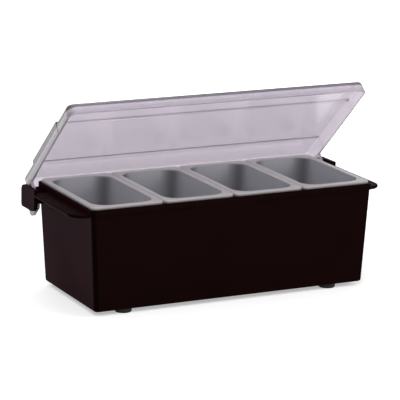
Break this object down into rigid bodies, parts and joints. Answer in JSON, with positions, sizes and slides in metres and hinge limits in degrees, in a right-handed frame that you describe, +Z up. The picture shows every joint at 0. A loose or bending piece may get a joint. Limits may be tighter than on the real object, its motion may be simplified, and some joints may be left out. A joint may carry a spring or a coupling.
{
  "type": "condiment caddy",
  "caption": "Bar-top condiment caddy: drafted tub with grip wings, lift-out pans hung by their rims, and one clear hinged lid on end lugs.",
  "frame": {"origin": "middle of the footprint box, at table height, with the lid standing open at 41 degrees", "axes": "+X to the right along the tub, +Y to the back where the lid is hinged, +Z up"},
  "size_m": [0.358, 0.1608, 0.214],
  "materials": {
    "tub_plastic": "satin moulded black",
    "lid_plastic": "clear, faint violet-grey tint",
    "pan_plastic": "smoky clear with pale rim",
    "foot_rubber": "matte"
  },
  "bodies": {
    "tub": {"base_tub": "tub_plastic", "foot_front_left": "foot_rubber", "foot_front_right": "foot_rubber", "foot_rear_left": "foot_rubber", "foot_rear_right": "foot_rubber"},
    "lid": {"flip_lid": "lid_plastic"},
    "pan_1": {"insert_pan_1": "pan_plastic"},
    "pan_2": {"insert_pan_2": "pan_plastic"},
    "pan_3": {"insert_pan_3": "pan_plastic"},
    "pan_4": {"insert_pan_4": "pan_plastic"}
  },
  "joints": [
    {"name": "lid_hinge", "type": "hinge", "parent": "tub", "child": "lid", "pos_m": [0, 0.05757, 0.1015], "axis": [-1, 0, 0], "range_deg": [-42.8, 64]},
    {"name": "pan_1_lift", "type": "slide", "parent": "tub", "child": "pan_1", "axis": [0, 0, 1], "range_m": [0, 0.008]},
    {"name": "pan_2_lift", "type": "slide", "parent": "tub", "child": "pan_2", "axis": [0, 0, 1], "range_m": [0, 0.008]},
    {"name": "pan_3_lift", "type": "slide", "parent": "tub", "child": "pan_3", "axis": [0, 0, 1], "range_m": [0, 0.008]},
    {"name": "pan_4_lift", "type": "slide", "parent": "tub", "child": "pan_4", "axis": [0, 0, 1], "range_m": [0, 0.008]}
  ]
}
